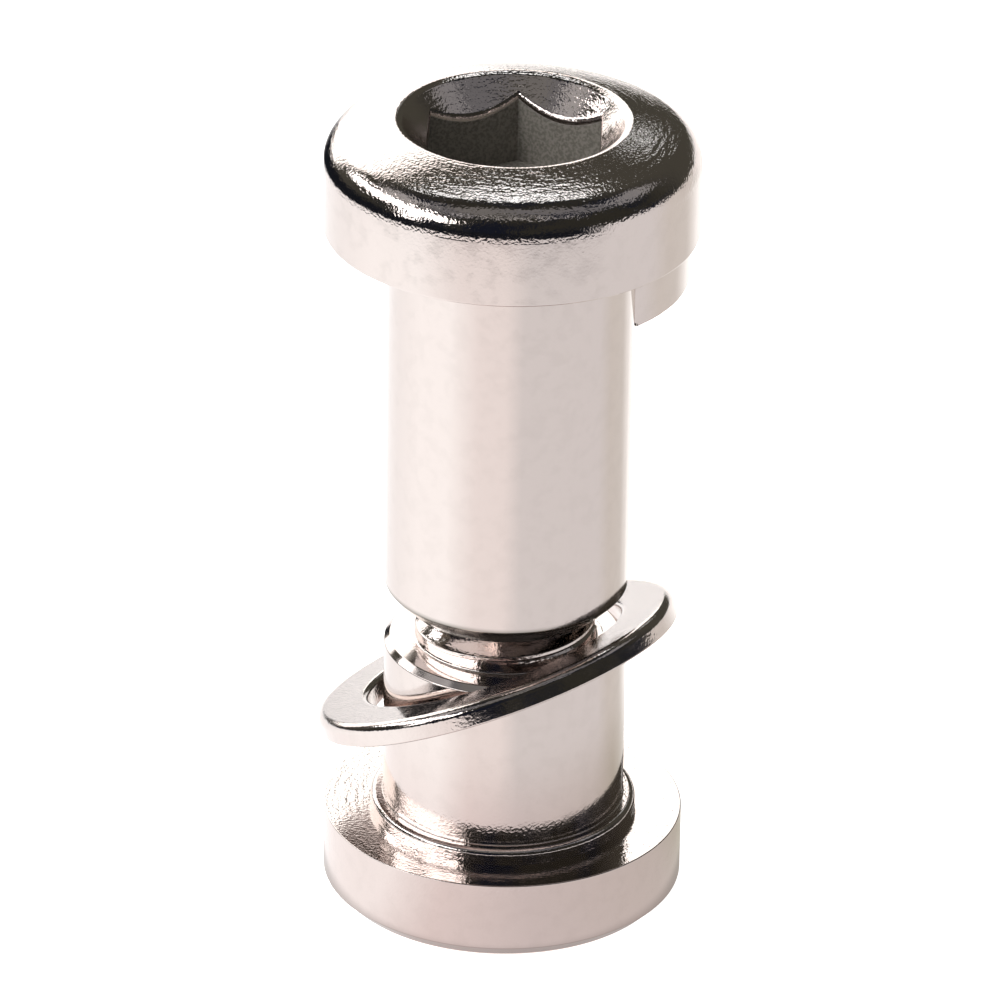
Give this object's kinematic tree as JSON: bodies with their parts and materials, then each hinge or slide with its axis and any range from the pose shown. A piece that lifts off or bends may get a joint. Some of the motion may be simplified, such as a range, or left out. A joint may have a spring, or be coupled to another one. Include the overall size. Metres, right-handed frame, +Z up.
{
  "type": "binder bolt with sleeve nut",
  "caption": "Flanged bolt, loose washer and long sleeve nut with countersunk hex sockets, screwed together through a split tube's lugs to clamp it.",
  "frame": {"origin": "middle of the flat face of the bolt's head, which the set stands on", "axes": "+Z up the common axis towards the nut's domed head, +X towards the nut's lug"},
  "size_m": [0.0123, 0.0124, 0.0277],
  "materials": {
    "bolt_plating": "bright nickel plating over turned steel",
    "washer_plating": "bright nickel plating over stamped steel",
    "nut_plating": "bright nickel plating over turned steel"
  },
  "bodies": {
    "bolt": {"bolt": "bolt_plating"},
    "washer": {"washer": "washer_plating"},
    "sleeve_nut": {"sleeve_nut": "nut_plating"}
  },
  "joints": [
    {"name": "screw_turn", "type": "hinge", "parent": "bolt", "child": "washer", "pos_m": [0, 0, 0], "axis": [0, 0, 1], "range_deg": [-250, 2880]},
    {"name": "screw_lift", "type": "slide", "parent": "washer", "child": "sleeve_nut", "axis": [0, 0, 1], "range_m": [-0.0007, 0.008]}
  ],
  "couplings": [
    {"joint": "screw_lift", "follows": "screw_turn", "m_per_rad": 0.00015915}
  ]
}
